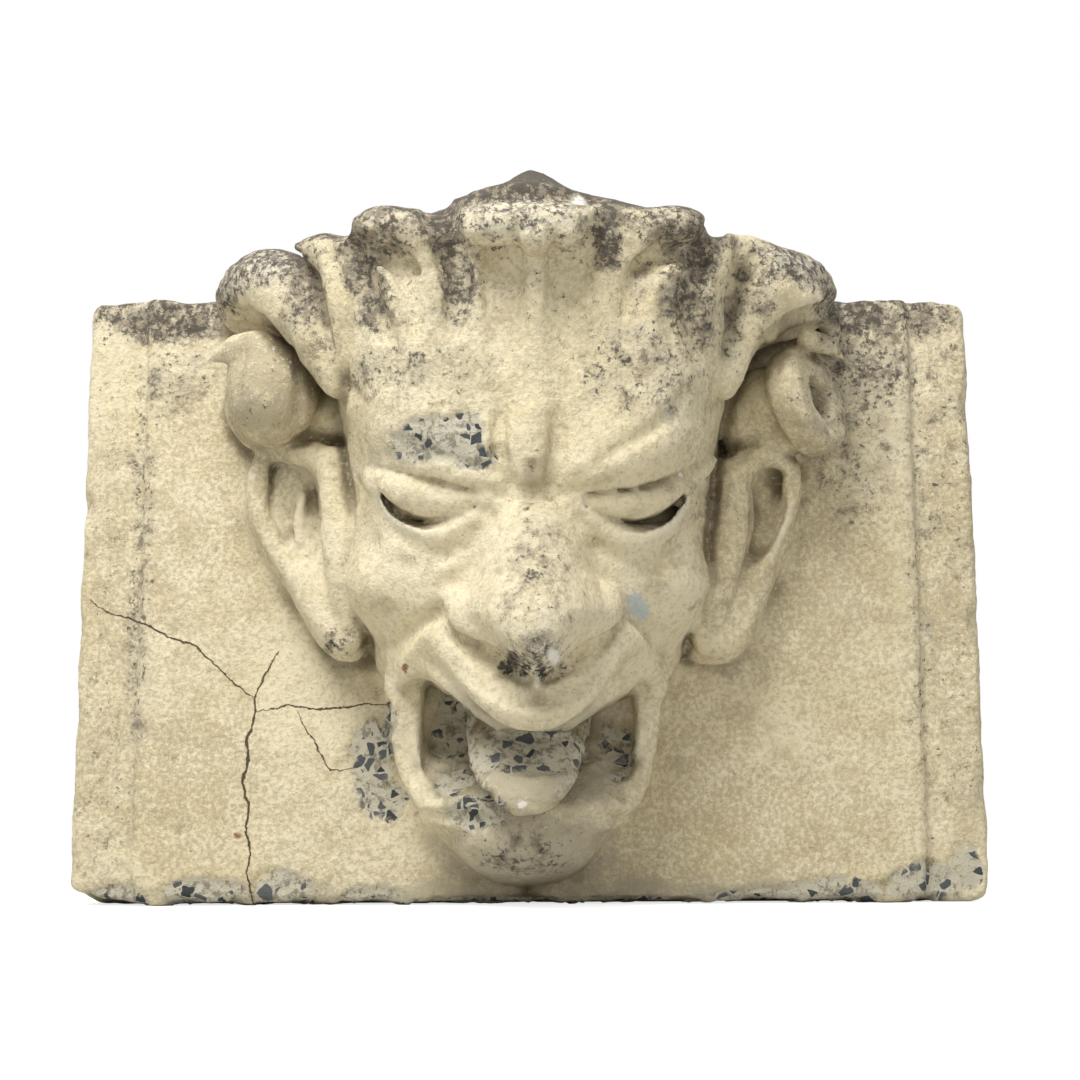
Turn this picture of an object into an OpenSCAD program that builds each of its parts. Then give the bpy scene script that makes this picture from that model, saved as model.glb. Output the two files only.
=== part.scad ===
// Corbel stone: a rectangular backing slab and a horned-hair mask, cast together as one solid.
// Millimetres, +Z up. The back bed is the plane y = 0 and the mask faces -Y.
// The origin is the centre of the back bed.

/* [Slab] */
// Width of the slab
slab_w = 620; // [500:5:760]
// Height of the slab
slab_h = 420; // [350:5:520]
// Thickness from the back bed to the raised panel
slab_t = 75; // [60:1:100]
// Width of the set-back strip down each side
strip_w = 42; // [20:1:60]
// How far each strip is set back from the panel
strip_d = 7; // [3:0.5:15]
// Radius worn on the side and top arrises
arris_r = 7; // [3:0.5:12]
// Radius worn on the bottom arris
foot_arris_r = 12; // [4:0.5:16]
// Radius of the slab's corners as seen from the front
corner_r = 13; // [4:0.5:20]
// Width of the piece broken from the lower left corner
break_w = 25; // [10:1:40]
// Height of that piece
break_h = 15; // [6:1:30]

/* [Mask] */
// Height of the chin above the slab's bottom
chin_gap = 11; // [4:1:40]
// Width of the mask across its wings of hair
mask_w = 432; // [360:2:520]
// How far the nose tip stands before the panel
nose_stand = 175; // [145:1:210]
// How far the eyes' plane stands before the panel
face_stand = 112; // [94:1:134]
// How deep the mask is let into the slab
embed = 12; // [6:1:20]
// Slope of the plain back of the crown, in degrees, where it stands above the slab
crown_slope = 31; // [20:1:40]

/* [Face] */
// Height of the brow ridges over the eyes
brow_rise = 22; // [12:1:28]
// Depth of the eye sockets
socket_depth = 24; // [12:1:32]
// Swell of the eyelids
lid_swell = 17; // [8:1:22]
// Half width of the nose across its wings
nose_half_w = 52; // [40:1:60]
// Swell of the cheeks
cheek_swell = 26; // [12:1:34]
// Half width of the open mouth
mouth_half_w = 76; // [62:1:86]
// Half height of the open mouth
mouth_half_h = 38; // [30:1:46]
// How far the mouth's floor stands before the panel
mouth_floor = 24; // [15:1:60]
// Half width of the tongue
tongue_half_w = 36; // [28:1:44]
// How far the tongue's tip stands before the panel
tongue_stand = 100; // [80:1:120]

/* [Hair] */
// How far the broken front lip of the crest stands before the panel
crest_stand = 163; // [135:1:185]
// Half width of that lip
crest_half_w = 46; // [36:1:60]
// Depth of the flutes in the forehead
flute_depth = 9; // [4:1:12]
// Flutes on each side of the middle rib
flute_count = 4; // [3:1:5]

/* [Scrolls and ears] */
// Radius of the scroll under each wing of hair
scroll_r = 33; // [26:1:36]
// Length of each scroll
scroll_l = 74; // [58:1:84]
// Radius of the eye sunk in the scroll's end
scroll_eye_r = 15; // [8:1:20]
// Depth of that eye
scroll_eye_d = 14; // [6:1:24]
// Length of each ear
ear_l = 150; // [125:1:180]
// Half width of each ear at its widest
ear_half_w = 27; // [20:1:33]
// Depth of the ear's hollow
ear_dish = 16; // [6:1:20]

/* [Facets] */
// Rows of facets up the head
head_rows = 64; // [40:2:66]
// Facets across the head
head_cols = 52; // [36:2:54]

/* [Hidden] */
stone = "#E3D3A9";
panel_y = -slab_t;
chin_drop = 199;                              // from the mask's own datum down to the chin
crown_top = 268;                              // and up to the top of the crown
mask_z = -slab_h / 2 + chin_gap + chin_drop;  // the datum's height on the slab
$fn = 48;

// Half width of head and hair at each height above the datum
outline = [[-199, 10], [-192, 30], [-178, 49], [-155, 64], [-125, 80], [-85, 94], [-45, 103], [0, 122],
           [25, 126], [70, 127], [100, 135], [140, 139], [175, 146], [205, 152], [224, 140], [240, 104],
           [254, 58], [268, 14]];
// How far the middle of the bare form stands, before nose, lips and hair are laid on it
profile = [[-199, 8], [-192, 34], [-178, 58], [-150, 76], [-110, 88], [-60, 100], [0, face_stand],
           [60, face_stand + 10], [120, face_stand + 18], [185, face_stand + 22], [205, face_stand + 24],
           [232, face_stand + 4], [254, 98], [268, 84]];

function ease(a, b, v) = let (u = max(0, min(1, (v - a) / (b - a)))) u * u * (3 - 2 * u);
function mix(a, b, u) = a + (b - a) * u;
function to_line(p, a, b) = let (d = b - a, u = max(0, min(1, (p - a) * d / (d * d)))) norm(p - a - u * d);
function to_path(p, pts) = min([for (i = [0 : len(pts) - 2]) to_line(p, pts[i], pts[i + 1])]);
function swell(p, c, r) = exp(-pow((p[0] - c[0]) / r[0], 2) - pow((p[1] - c[1]) / r[1], 2));
function fold(p, pts, r) = exp(-pow(to_path(p, pts) / r, 2));

// Forehead flutes fan out from the nose root and deepen up to the crest
function flutes(q) =
    let (fan = q[0] / mix(60, 118, ease(70, 190, q[1])))
    -flute_depth * (0.5 - 0.5 * cos(360 * flute_count * fan)) * ease(80, 165, q[1]);

// Lip of the crest and the tips of the locks beside it
function crest(q) =
    (crest_stand - face_stand - 24) * (1 - ease(crest_half_w, crest_half_w + 8, q[0])) * swell([0, q[1]], [0, 203], [1, 17])
    + 22 * swell(q, [78, 214], [17, 16]) + 26 * swell(q, [108, 222], [15, 16]) + 24 * swell(q, [140, 216], [13, 15]);

function brows(q) =
    brow_rise * fold(q, [[14, 54], [58, 70], [102, 98], [126, 100]], 17)
    - 10 * fold(q, [[0, 66], [0, 92]], 6);

function eyes(q) =
    -socket_depth * swell(q, [70, 38], [44, 20])
    + lid_swell * swell(q, [72, 46], [34, 12])
    + 7 * fold(q, [[44, 20], [76, 8], [104, 30]], 6);

function nose(q) =
    let (bridge = (nose_stand - lookup(-52, profile)) * mix(0.16, 1, ease(-42, 36, -q[1])))
    (bridge * fold(q, [[0, 44], [0, -52]], mix(20, 27, ease(-20, 50, -q[1])))
    + 24 * swell(q, [nose_half_w - 14, -34], [19, 18])) * ease(-76, -64, q[1]);

function cheeks(q) =
    cheek_swell * swell(q, [88, -14], [34, 34])
    - 16 * fold(q, [[nose_half_w, -10], [68, -36], [96, -60]], 8);

function lips(q) =
    26 * fold(q, [[0, -88], [34, -76], [58, -62], [84, -62]], 13)
    + 12 * fold(q, [[92, -84], [86, -116], [60, -140], [0, -152]], 9)
    + 20 * swell(q, [0, -174], [46, 20]);

function in_mouth(q) = 1 - ease(0.86, 1.06, norm([q[0] / mouth_half_w, (q[1] + 110) / mouth_half_h]));

function tongue(q) =
    let (run = ease(92, 140, -q[1]),
         taper = sqrt(max(0.02, 1 - pow(max(0, -q[1] - 108) / 50, 3))),
         side = min(1, q[0] / (tongue_half_w * taper)))
    mix(0.7, 1, run) * tongue_stand * pow(1 - pow(side, 4), 0.4);

// How far the head stands before the panel at x, z
function head_stand(x, z) =
    let (q = [abs(x), z],
         t = min(1, q[0] / lookup(z, outline)),
         bare = lookup(z, profile) * pow(1 - pow(t, 2.6), 0.55),
         laid = (flutes(q) + crest(q) + brows(q) + eyes(q) + nose(q) + cheeks(q) + lips(q)) * (1 - pow(t, 8)),
         open = mix(bare + laid, mouth_floor, in_mouth(q)))
    max(1, open, q[1] < -92 && q[1] > -158 ? tongue(q) : 0);

// Stand of the solid's rear at height z: let into the slab, and sloping forward where the crown is above it
function crown_rear(z) = max(0, z + mask_z - slab_h / 2 - 2) / tan(crown_slope) - embed;

// Closed solid from a grid of [x, stand, z] points; each row's ends drop straight back to that row's rear
module cast_on(grid, rears) {
    m = len(grid);
    n = len(grid[0]);
    rim = concat([for (j = [0 : n - 1]) [0, j]], [for (i = [1 : m - 1]) [i, n - 1]],
                 [for (j = [n - 2 : -1 : 0]) [m - 1, j]], [for (i = [m - 2 : -1 : 1]) [i, 0]]);
    k = len(rim);
    front = [for (i = [0 : m - 1]) for (p = grid[i]) [p[0], panel_y - max(p[1], rears[i] + 2), p[2]]];
    rear = [for (r = rim) let (p = grid[r[0]][r[1]]) [p[0], panel_y - rears[r[0]], p[2]]];
    skin = [for (i = [0 : m - 2]) for (j = [0 : n - 2])
        let (a = i * n + j) each [[a, a + n, a + 1], [a + 1, a + n, a + n + 1]]];
    sides = [for (i = [0 : k - 1])
        let (a = rim[i][0] * n + rim[i][1], b = rim[(i + 1) % k][0] * n + rim[(i + 1) % k][1],
             c = m * n + i, d = m * n + (i + 1) % k) each [[a, b, c], [b, d, c]]];
    // rear strips between the rows; the first and last also take the points along their row
    right = n - 1;
    back = [for (i = [0 : m - 2])
        [for (r = concat(i == 0 ? [for (j = [0 : right]) j] : [(k - i) % k, right + i],
                         i == m - 2 ? [for (j = [right + m - 1 : right + m - 1 + right]) j]
                                    : [right + i + 1, k - i - 1])) m * n + r]];
    polyhedron(points = concat(front, rear), faces = concat(skin, sides, back), convexity = 6);
}

module head() {
    levels = [for (i = [0 : head_rows]) mix(-chin_drop, crown_top, i / head_rows)];
    cast_on([for (z = levels) let (w = lookup(z, outline))
                [for (j = [0 : head_cols])
                    let (u = 2 * j / head_cols - 1, x = w * (0.62 * u + 0.38 * sin(90 * u)))
                    [x, head_stand(x, z), z]]],
            [for (z = levels) crown_rear(z)]);
}

// Wing of hair that sweeps out over the scroll; side is 1 or -1
module wing(side) {
    upper = [[0, 222], [0.35, 229], [0.6, 228], [0.85, 219], [1, 207]];
    lower = [[0, 120], [0.35, 158], [0.6, 183], [0.85, 193], [1, 199]];
    stand = [[0, 78], [0.35, 72], [0.6, 60], [0.85, 36], [1, 14]];
    cast_on([for (i = [0 : 14])
        let (s = side > 0 ? i / 14 : 1 - i / 14)
        [for (j = [0 : 10])
            let (v = j / 10, x = side * mix(112, 216, s),
                 z = mix(lookup(s, upper), lookup(s, lower), v))
            [x, lookup(s, stand) * pow(1 - pow(abs(2 * v - 1), 2.6), 0.5) + 3, z]]],
        [for (i = [0 : 14]) -embed]);
}

// Scroll under the wing: a drum lying across the panel with an eye sunk in its outer end
module scroll(side) {
    translate([side * (139 + scroll_l / 2), panel_y - 50, 126])
        rotate([0, side * 90, side * -12])
            difference() {
                cylinder(r = scroll_r, h = scroll_l, center = true);
                translate([0, 0, scroll_l / 2 - scroll_eye_d])
                    cylinder(r = scroll_eye_r, h = scroll_eye_d + 1);
            }
    translate([side * (139 + scroll_l / 2), panel_y - 24 + embed / 2, 126])
        cube([scroll_l * 0.8, 48 + embed, scroll_r * 1.1], center = true);
}

// Long pointed ear with a dished front; the lobe hangs in towards the jaw
module ear(side) {
    width = [[0, 0.12], [0.12, 0.8], [0.3, 1], [0.5, 0.84], [0.75, 0.52], [0.9, 0.5], [1, 0.2]];
    cast_on([for (i = [0 : 14])
        let (s = 1 - i / 14, w = ear_half_w * lookup(s, width),
             cx = mix(156, 112, s) + 7 * sin(180 * s), cz = 98 - ear_l * s)
        [for (j = [0 : 10])
            let (v = j / 5 - 1, rim_rise = 19 + 12 * sin(180 * s),
                 hollow = ear_dish * exp(-pow(v / 0.5, 2)) * sin(180 * min(1, 1.25 * s)))
            [side * cx + w * v, rim_rise * pow(1 - pow(v, 8), 0.5) - hollow + 3, cz]]],
        [for (i = [0 : 14]) -embed]);
}

module slab() {
    front_z = slab_h / 2;
    strip_y = panel_y + strip_d;
    difference() {
        intersection() {
            // front view: rounded corners
            translate([0, 1, 0]) rotate([90, 0, 0]) linear_extrude(slab_t + 2)
                rounded_plate(slab_w, slab_h, corner_r);
            // plan: panel, strips and worn side arrises
            translate([0, 0, -front_z]) linear_extrude(slab_h)
                union() {
                    translate([-slab_w / 2, strip_y + arris_r]) square([slab_w, -strip_y - arris_r]);
                    translate([-slab_w / 2 + arris_r, strip_y]) square([slab_w - 2 * arris_r, -strip_y]);
                    translate([-slab_w / 2 + strip_w, panel_y]) square([slab_w - 2 * strip_w, slab_t]);
                    for (s = [-1, 1]) translate([s * (slab_w / 2 - arris_r), strip_y + arris_r])
                        circle(r = arris_r);
                }
            // side view: worn top and bottom arrises
            translate([-slab_w / 2, 0, 0]) rotate([90, 0, 90]) linear_extrude(slab_w)
                union() {
                    translate([panel_y + foot_arris_r, -front_z]) square([slab_t - foot_arris_r, slab_h]);
                    translate([panel_y, -front_z + foot_arris_r])
                        square([slab_t, slab_h - foot_arris_r - arris_r]);
                    translate([panel_y + arris_r, front_z - arris_r - 1]) square([slab_t - arris_r, arris_r + 1]);
                    translate([panel_y + foot_arris_r, -front_z + foot_arris_r]) circle(r = foot_arris_r);
                    translate([panel_y + arris_r, front_z - arris_r]) circle(r = arris_r);
                }
        }
        // lower left corner, broken away
        translate([-slab_w / 2, 1, -front_z]) rotate([90, 0, 0]) linear_extrude(slab_t + 2)
            polygon([[-1, -1], [break_w, -1], [break_w, 0], [0, break_h], [-1, break_h]]);
    }
}

// Rectangle with quarter-round corners
module rounded_plate(w, h, r) {
    square([w - 2 * r, h], center = true);
    square([w, h - 2 * r], center = true);
    for (sx = [-1, 1]) for (sz = [-1, 1]) translate([sx * (w / 2 - r), sz * (h / 2 - r)]) circle(r = r);
}

// Head, wings, scrolls and ears at their drawn size, brought to the named width as one body
module mask() {
    resize([mask_w, 0, 0]) {
        head();
        for (side = [-1, 1]) {
            wing(side);
            scroll(side);
            ear(side);
        }
    }
}

module corbel() {
    color(stone) union() {
        slab();
        translate([0, 0, mask_z]) mask();
    }
}

corbel();
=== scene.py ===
import math
import time
import bmesh
import bpy
import numpy as np
import openvdb
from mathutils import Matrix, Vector

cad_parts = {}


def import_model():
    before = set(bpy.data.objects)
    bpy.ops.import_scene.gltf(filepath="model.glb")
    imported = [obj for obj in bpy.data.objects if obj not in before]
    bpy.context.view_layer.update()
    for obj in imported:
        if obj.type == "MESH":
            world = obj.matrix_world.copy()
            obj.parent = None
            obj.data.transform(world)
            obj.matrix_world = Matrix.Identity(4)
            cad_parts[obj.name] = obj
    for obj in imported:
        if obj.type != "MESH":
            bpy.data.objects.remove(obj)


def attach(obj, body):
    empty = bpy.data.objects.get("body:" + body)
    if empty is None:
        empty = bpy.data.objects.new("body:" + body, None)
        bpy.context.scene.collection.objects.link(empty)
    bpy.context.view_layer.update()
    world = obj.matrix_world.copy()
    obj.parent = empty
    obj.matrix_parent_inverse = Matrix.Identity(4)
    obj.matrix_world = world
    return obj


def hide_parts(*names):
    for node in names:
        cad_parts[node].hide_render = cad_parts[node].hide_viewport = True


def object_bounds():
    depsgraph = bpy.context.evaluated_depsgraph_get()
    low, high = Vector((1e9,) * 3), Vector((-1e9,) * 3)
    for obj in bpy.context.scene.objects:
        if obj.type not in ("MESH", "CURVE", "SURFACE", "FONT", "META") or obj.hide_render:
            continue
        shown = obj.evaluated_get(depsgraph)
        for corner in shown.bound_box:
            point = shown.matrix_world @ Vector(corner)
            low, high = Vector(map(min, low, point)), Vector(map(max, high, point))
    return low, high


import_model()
cadLow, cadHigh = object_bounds()
started = time.time()

# Everything below is shaped in millimetres as (x, stand, z): stand is the distance out from the back bed.
block = {
    "width": 620.0, "height": 420.0,       # slab as seen from the front
    "panel": 75.0, "strip": 68.0,          # stand of the raised panel and of the strip down each side
    "stripWidth": 42.0,
    "arris": 6.5,                          # radius the weather has put on the edges
    "rear": 62.0,                          # plane the crown's back starts from above the slab
    "rearSlope": 0.6,                      # and how fast it comes forward with height
}
detail = {
    "cell": 2.3,    # size of the modelling grid's cells
    "mostTriangles": 190000,               # flat parts are thinned out down to this
}


def say(stage):
    print("%5.1f s  %s" % (time.time() - started, stage))


def softUnion(a, b, blend):
    h = np.clip(0.5 + 0.5 * (b - a) / blend, 0.0, 1.0)
    return b + (a - b) * h - blend * h * (1.0 - h)


def flowing(points, perSpan=6):
    # Catmull-Rom curve through the points; any further columns, such as a radius, flow along with them
    p = np.array(points, float)
    if len(p) < 3:
        return np.array([p[0] + (p[-1] - p[0]) * t for t in np.linspace(0, 1, perSpan + 1)])
    p = np.vstack([2 * p[0] - p[1], p, 2 * p[-1] - p[-2]])
    out = []
    for i in range(1, len(p) - 2):
        for t in np.arange(perSpan) / perSpan:
            out.append(0.5 * (2 * p[i] + (p[i + 1] - p[i - 1]) * t
                              + (2 * p[i - 1] - 5 * p[i] + 4 * p[i + 1] - p[i + 2]) * t ** 2
                              + (3 * p[i] - p[i - 1] - 3 * p[i + 1] + p[i + 2]) * t ** 3))
    out.append(p[-2])
    return np.array(out)


def turned(angles):
    # rotation matrix from turns about x, stand and z, in degrees
    a, b, c = (math.radians(v) for v in angles)
    rx = np.array([[1, 0, 0], [0, math.cos(a), -math.sin(a)], [0, math.sin(a), math.cos(a)]])
    ry = np.array([[math.cos(b), 0, math.sin(b)], [0, 1, 0], [-math.sin(b), 0, math.cos(b)]])
    rz = np.array([[math.cos(c), -math.sin(c), 0], [math.sin(c), math.cos(c), 0], [0, 0, 1]])
    return rz @ ry @ rx


class Clay:
    # A block of space that holds the distance to the surface in every cell, negative inside

    def __init__(self, low, high, cell):
        self.cell = cell
        self.low = np.array(low, float)
        counts = np.ceil((np.array(high) - self.low) / cell).astype(int) + 1
        self.axes = [(self.low[i] + cell * np.arange(counts[i])).astype(np.float32) for i in range(3)]
        self.field = np.full(counts, 60.0, np.float32)

    def patch(self, low, high):
        # the cells inside a box, and their x, stand and z
        cut = []
        for i in range(3):
            a = int(np.searchsorted(self.axes[i], low[i]))
            b = int(np.searchsorted(self.axes[i], high[i])) + 1
            cut.append(slice(max(0, a - 1), min(len(self.axes[i]), b)))
        x, s, z = (self.axes[i][cut[i]] for i in range(3))
        return tuple(cut), x[:, None, None], s[None, :, None], z[None, None, :]

    def join(self, cut, shape, blend):
        self.field[cut] = softUnion(self.field[cut], shape, blend)

    def cutAway(self, cut, shape, blend):
        self.field[cut] = -softUnion(-self.field[cut], shape, blend)

    def ball(self, centre, radii, turn=(0, 0, 0), blend=6.0, cut=False):
        # an egg with three radii, turned about x, stand and z
        reach = max(radii) + blend + 18
        c = np.array(centre, float)
        where, x, s, z = self.patch(c - reach, c + reach)
        r = turned(turn).T
        p = [(r[i][0] * (x - c[0]) + r[i][1] * (s - c[1]) + r[i][2] * (z - c[2])) for i in range(3)]
        k0 = np.sqrt(sum((p[i] / radii[i]) ** 2 for i in range(3))) + 1e-6
        k1 = np.sqrt(sum((p[i] / radii[i] ** 2) ** 2 for i in range(3))) + 1e-6
        shape = (k0 * (k0 - 1) / k1).astype(np.float32)
        (self.cutAway if cut else self.join)(where, shape, blend)

    def roll(self, points, blend=5.0, cut=False, squash=(1, 1, 1)):
        # a swept round form through (x, stand, z, radius) points; squash widens it along an axis
        p = flowing(points)
        q = np.array(squash, float)
        reach = p[:, 3].max() * q.max() + blend + 16
        where, x, s, z = self.patch(p[:, :3].min(0) - reach, p[:, :3].max(0) + reach)
        best = None
        for a, b in zip(p[:-1], p[1:]):
            d = (b[:3] - a[:3]) / q
            u = [(v - a[i]) / q[i] for i, v in enumerate((x, s, z))]
            t = np.clip(sum(u[i] * d[i] for i in range(3)) / max(1e-6, d @ d), 0, 1)
            gap = np.sqrt(sum((u[i] - t * d[i]) ** 2 for i in range(3))) - (a[3] + (b[3] - a[3]) * t)
            best = gap if best is None else np.minimum(best, gap)
        (self.cutAway if cut else self.join)(where, (best * q.min()).astype(np.float32), blend)

    def drum(self, start, end, radius, edge, blend=3.0, cut=False):
        # a round bar with flat ends and rounded edges
        a, b = np.array(start, float), np.array(end, float)
        axis = (b - a) / np.linalg.norm(b - a)
        mid, half = (a + b) / 2, np.linalg.norm(b - a) / 2
        reach = radius + half + blend + 10
        where, x, s, z = self.patch(mid - reach, mid + reach)
        p = (x - mid[0], s - mid[1], z - mid[2])
        along = sum(p[i] * axis[i] for i in range(3))
        across = np.sqrt(np.maximum(0, sum(v * v for v in p) - along ** 2)) - radius + edge
        past = np.abs(along) - half + edge
        shape = np.hypot(np.maximum(across, 0), np.maximum(past, 0)) + np.minimum(np.maximum(across, past),
                                                                                  0) - edge
        (self.cutAway if cut else self.join)(where, shape.astype(np.float32), blend)

    def lobe(self, shape, rear, blend, rearCut=None):
        # a form with a given half width, front and squareness at each height
        low, high, spare = shape["outline"][0][0], shape["outline"][-1][0], 14
        widest = max(w for _, w in shape["outline"]) + spare
        front = max(p for _, p in shape["profile"]) + spare
        where, x, s, z = self.patch((-widest, rear - 24, low - spare), (widest, front, high + spare))
        heights = z.ravel()
        over = np.maximum(0, np.maximum(heights - high, low - heights))
        table = [np.interp(heights, *zip(*shape[name])) for name in ("outline", "profile", "square")]
        w = np.maximum(2.0, table[0] - 1.5 * over).astype(np.float32)[None, None, :]
        deep = np.maximum(2.0, table[1] - rear - 1.5 * over).astype(np.float32)[None, None, :]
        square = table[2].astype(np.float32)[None, None, :]
        lean = np.interp(heights, *zip(*shape["lean"])).astype(np.float32)[None, None, :]
        out = np.maximum(s - rear, 0)
        g = ((np.abs(x - lean) / w) ** square + (out / deep) ** shape["crown"]) ** (1 / 2.2) - 1
        g = g * np.minimum(w, deep)
        steep = np.sqrt(sum(v * v for v in np.gradient(g, self.cell)))
        g = g / np.clip(steep, 0.6, 6.0)
        if rearCut is not None:
            g = -softUnion(-g, -np.broadcast_to(rearCut(s, z), g.shape), 6.0)
        self.join(where, g.astype(np.float32), blend)

    def opening(self, outline, back, blend=2.0):
        # clears everything in front of the back, inside an outline of (x, z); the back is (x, stand) points
        p = flowing(list(outline) + [outline[0]], 4)[:-1]
        where, x, s, z = self.patch((p[:, 0].min() - 12, 0, p[:, 1].min() - 12),
                                    (p[:, 0].max() + 12, 262, p[:, 1].max() + 12))
        x, z = x[:, 0], z[0]
        near, inside = 1e9, False
        for a, b in zip(p, np.roll(p, -1, axis=0)):
            d = b - a
            t = np.clip(((x - a[0]) * d[0] + (z - a[1]) * d[1]) / (d @ d), 0, 1)
            near = np.minimum(near, np.hypot(x - a[0] - t * d[0], z - a[1] - t * d[1]))
            if abs(d[1]) > 1e-6:
                inside = inside ^ (((a[1] > z) != (b[1] > z)) & (x < a[0] + d[0] * (z - a[1]) / d[1]))
        side = np.where(inside, -near, near)[:, None, :]
        rear = np.interp(x[:, 0], *zip(*back))[:, None, None]
        self.cutAway(where, np.maximum(side, rear - s).astype(np.float32), blend)

    def frontAt(self, x, z):
        # how far out the surface stands at one place
        i = int(np.clip(round((x - self.low[0]) / self.cell), 0, len(self.axes[0]) - 1))
        k = int(np.clip(round((z - self.low[2]) / self.cell), 0, len(self.axes[2]) - 1))
        column = self.field[i, :, k]
        inside = np.nonzero(column < 0)[0]
        if not len(inside) or inside[-1] + 1 >= len(column):
            return block["panel"]
        j = inside[-1]
        return self.axes[1][j] + self.cell * column[j] / (column[j] - column[j + 1])

    def stroke(self, points, kind="soft"):
        # works the surface along a line of (x, z, width, rise): a negative rise presses a groove, and the
        # kind is soft, sharp or a flat-topped band
        p = flowing(points)
        path = np.array([[a[0], self.frontAt(a[0], a[1]), a[1]] for a in p])
        if len(path) > 4:
            path[1:-1, 1] = (path[:-2, 1] + 2 * path[1:-1, 1] + path[2:, 1]) / 4
        reach = p[:, 2].max() + self.cell
        where, x, s, z = self.patch(path.min(0) - reach, path.max(0) + reach)
        change = np.zeros(self.field[where].shape, np.float32)
        for i in range(len(path) - 1):
            a, b = path[i], path[i + 1]
            d = b - a
            away = (x - a[0], s - a[1], z - a[2])
            t = np.clip(sum(away[n] * d[n] for n in range(3)) / max(1e-6, d @ d), 0, 1)
            gap = np.sqrt(sum((away[n] - t * d[n]) ** 2 for n in range(3)))
            u = np.clip(gap / (p[i, 2] + (p[i + 1, 2] - p[i, 2]) * t), 0, 1)
            rise = p[i, 3] + (p[i + 1, 3] - p[i, 3]) * t
            if kind == "soft":
                fall = (1 - u * u) ** 2
            elif kind == "sharp":
                fall = (1 - u) ** 2
            else:
                v = np.clip(2 * u - 1, 0, 1)
                fall = 1 - v ** 2 * (3 - 2 * v)
            change = np.where(np.abs(rise * fall) > np.abs(change), rise * fall, change)
        self.field[where] -= change

    def sample(self, points):
        # the distance held at any points, between the cells
        q = (points - self.low) / self.cell
        base = np.floor(q).astype(int)
        for i in range(3):
            base[:, i] = np.clip(base[:, i], 0, self.field.shape[i] - 2)
        t = np.clip(q - base, 0, 1)
        out = np.zeros(len(points))
        for corner in range(8):
            o = [(corner >> i) & 1 for i in range(3)]
            w = np.prod([t[:, i] if o[i] else 1 - t[:, i] for i in range(3)], axis=0)
            out += w * self.field[base[:, 0] + o[0], base[:, 1] + o[1], base[:, 2] + o[2]]
        return out


clay = Clay((-318, -8, -218), (318, 262, 284), detail["cell"])


def buildSlab():
    half, high = block["width"] / 2, block["height"] / 2
    where, x, s, z = clay.patch((-400, -50, -400), (400, 130, 400))
    r = block["arris"]

    def plate(w, front, cornerRadius):
        # rounded outline in front view, then a rounded arris towards the front only
        px, pz = np.abs(x) - (w - cornerRadius), np.abs(z) - (high - cornerRadius)
        flat = np.hypot(np.maximum(px, 0), np.maximum(pz, 0)) + np.minimum(np.maximum(px, pz),
                                                                           0) - cornerRadius
        e, f = flat + r, s - front + r
        face = np.hypot(np.maximum(e, 0), np.maximum(f, 0)) + np.minimum(np.maximum(e, f), 0) - r
        return np.maximum(face, -s)

    body = plate(half, block["strip"], 12.0)
    raised = plate(half - block["stripWidth"], block["panel"], 3.0)
    clay.field[where] = softUnion(body, raised, 3.0).astype(np.float32)


# Half width, stand of the middle, squareness of the section and sideways lean, each as (height, value).
# The crown says how blunt the front is: 2 is round, less is keener.
head = {
    "outline": [(-199, 8), (-196, 23), (-190, 33), (-182, 43), (-169, 55), (-157, 65), (-146, 73), (-137, 79),
                (-114, 88), (-89, 93), (-64, 98), (-50, 104), (-30, 111), (0, 121), (13, 125), (40, 127),
                (70, 127), (100, 130), (140, 141), (175, 149), (205, 153), (215, 149), (222, 140), (228, 120),
                (234, 96), (242, 70), (250, 52), (258, 37), (264, 27), (269, 15)],
    "profile": [(-199, 84), (-196, 98), (-183, 130), (-171, 145), (-150, 142), (-120, 150), (-95, 174),
                (-70, 182), (-40, 184), (0, 188), (40, 198), (60, 203), (80, 206), (110, 208), (150, 210),
                (185, 213), (205, 219), (220, 221), (235, 212), (250, 192), (268, 166)],
    "square": [(-199, 2.3), (-100, 2.6), (-40, 2.8), (0, 3.0), (60, 3.4), (100, 4.2), (135, 5), (215, 5),
               (235, 3), (270, 2.2)],
    "lean": [(-199, -2), (-120, -5), (-60, -3), (0, -1), (60, 1), (200, 1)],
    "crown": 1.9,
}
nose = {
    "outline": [(-64, 12), (-60, 19), (-54, 27), (-47, 37), (-40, 46), (-32, 54), (-24, 54), (-16, 50),
                (-4, 44), (14, 41), (30, 35), (42, 28), (50, 16)],
    "profile": [(-64, 232), (-60, 245), (-54, 250), (-50, 251), (-38, 248), (-20, 238), (0, 226), (20, 215),
                (42, 204), (50, 197)],
    "square": [(-72, 2.6), (-60, 2.2), (-40, 1.9), (-10, 2.0), (42, 2.4)],
    "lean": [(-72, 3), (-40, 2), (0, 2), (42, 1)],
    "crown": 1.6,
}


def behindCrown(s, z):
    # the crown is finished plain behind, sloping forward above the slab
    return (block["rear"] + np.maximum(0, z - block["height"] / 2 - 1) / block["rearSlope"] - s) * 0.8


def buildHead():
    clay.lobe(head, block["rear"], 5.0, behindCrown)


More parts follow.
